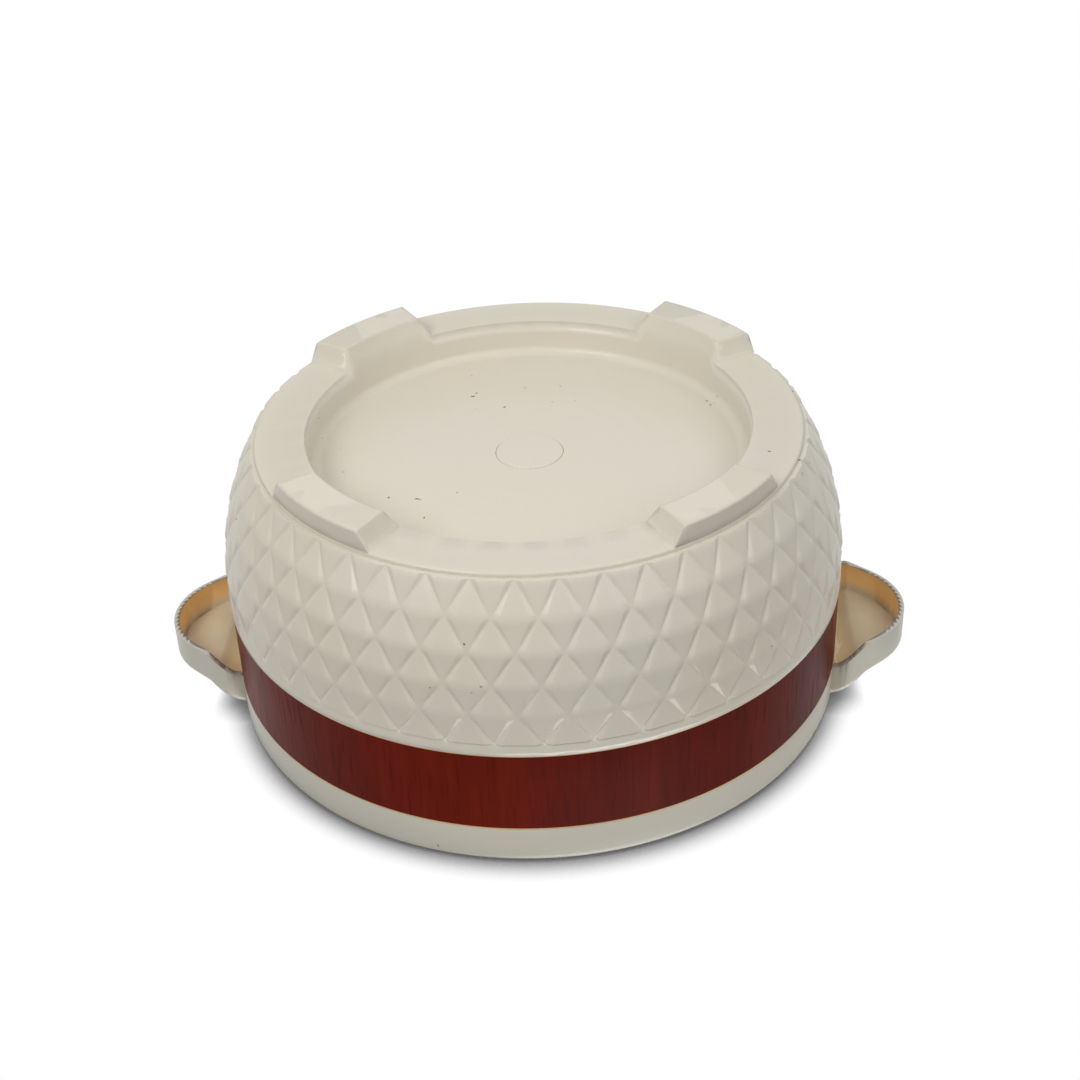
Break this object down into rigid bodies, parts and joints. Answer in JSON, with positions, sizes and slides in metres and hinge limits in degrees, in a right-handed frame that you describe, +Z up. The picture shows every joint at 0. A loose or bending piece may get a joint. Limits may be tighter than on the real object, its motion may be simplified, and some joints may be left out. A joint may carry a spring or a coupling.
{
  "type": "insulated casserole",
  "caption": "Insulated serving casserole with a faceted foam-filled body, wood-look band, ear handles, steel bowl and lift-off insulated lid.",
  "frame": {"origin": "centre of the plane under the four feet", "axes": "+Z up towards the mouth, X through the two ear handles, Y across"},
  "size_m": [0.2832, 0.2308, 0.1537],
  "materials": {
    "ivory_shell": "satin moulded plastic",
    "ivory_collar": "satin moulded plastic",
    "mahogany_band": "glossy wood-look plastic",
    "ivory_plug": "satin moulded plastic",
    "insulating_foam": "rigid foam",
    "bowl_steel": "brushed stainless",
    "ivory_lid": "satin moulded plastic",
    "mahogany_knob": "glossy wood-look plastic",
    "screw_steel": "plain steel"
  },
  "bodies": {
    "base": {"outer_body": "ivory_shell", "rim_ring": "ivory_collar", "wood_band": "mahogany_band", "base_plug": "ivory_plug", "body_foam": "insulating_foam", "inner_bowl": "bowl_steel"},
    "lid": {"lid_cover": "ivory_lid", "lid_foam": "insulating_foam", "lid_liner": "bowl_steel", "lid_knob": "mahogany_knob", "knob_screw": "screw_steel"}
  },
  "joints": [
    {"name": "lid_lift", "type": "slide", "parent": "base", "child": "lid", "axis": [0, 0, 1], "range_m": [0, 0.08]}
  ]
}
